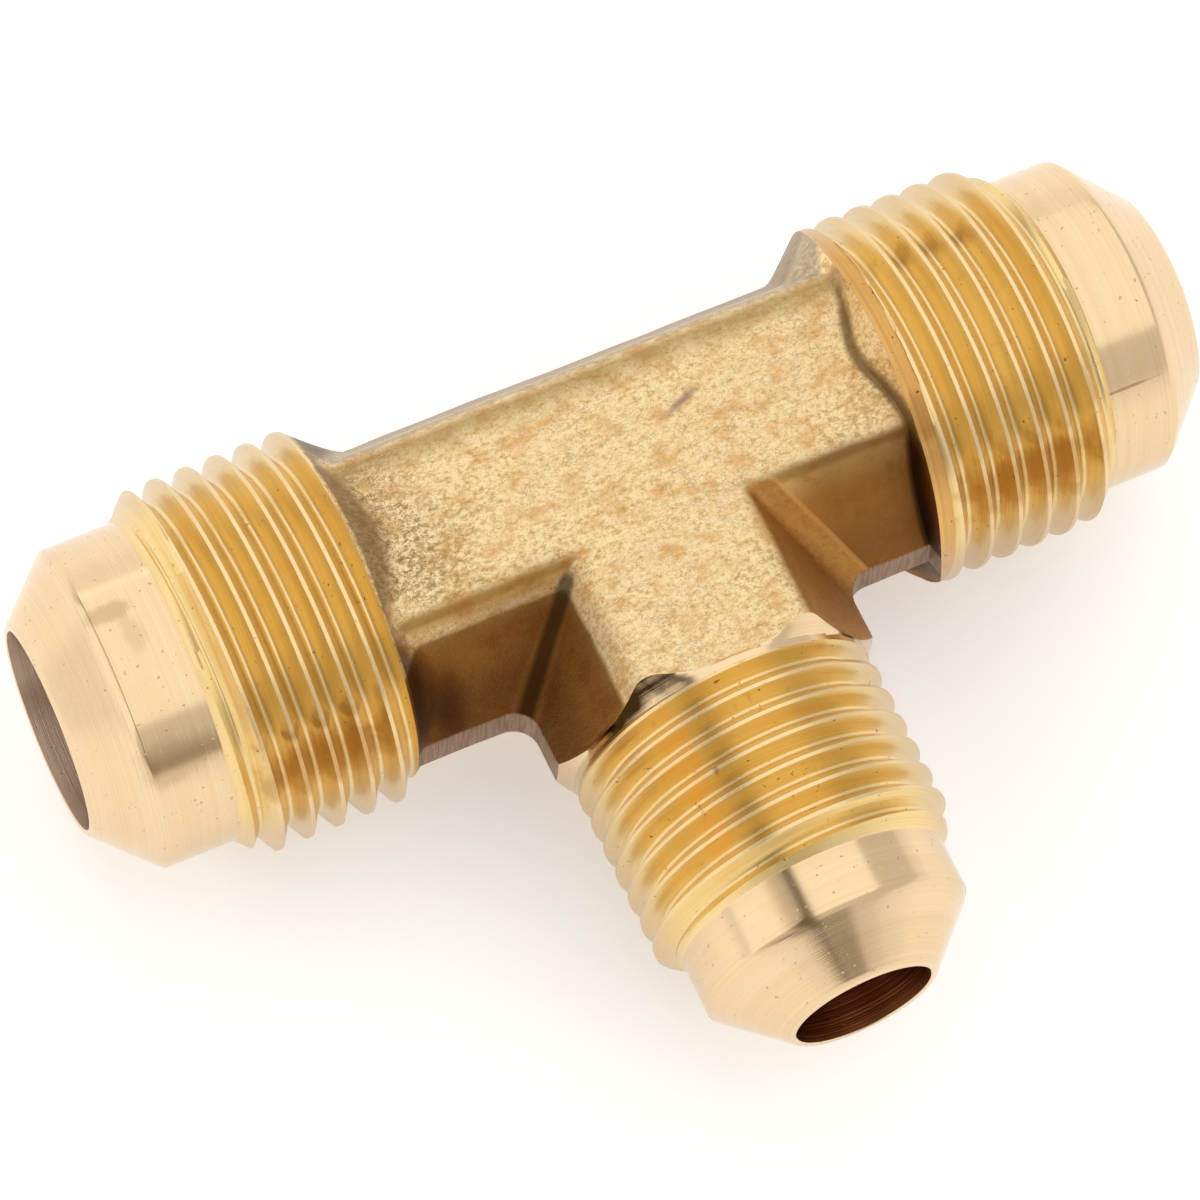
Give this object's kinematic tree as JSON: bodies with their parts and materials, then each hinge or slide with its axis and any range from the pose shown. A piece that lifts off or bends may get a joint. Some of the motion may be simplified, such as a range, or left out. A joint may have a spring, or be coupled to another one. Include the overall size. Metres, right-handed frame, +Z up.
{
  "type": "flare fitting",
  "caption": "Forged brass reducing tee with male 45-degree flare ends: a through run and a smaller branch at a right angle.",
  "frame": {"origin": "middle of the bounding box at its lowest level, under the run's threads", "axes": "+X along the run towards its right end, -Y along the branch towards its end, +Z up, square to the forging's flats"},
  "size_m": [0.0604, 0.038, 0.0191],
  "materials": {
    "forged_brass": "forged skin on the middle, satin turned threads, noses and seats"
  },
  "bodies": {
    "root": {"tee_body": "forged_brass"}
  },
  "joints": []
}
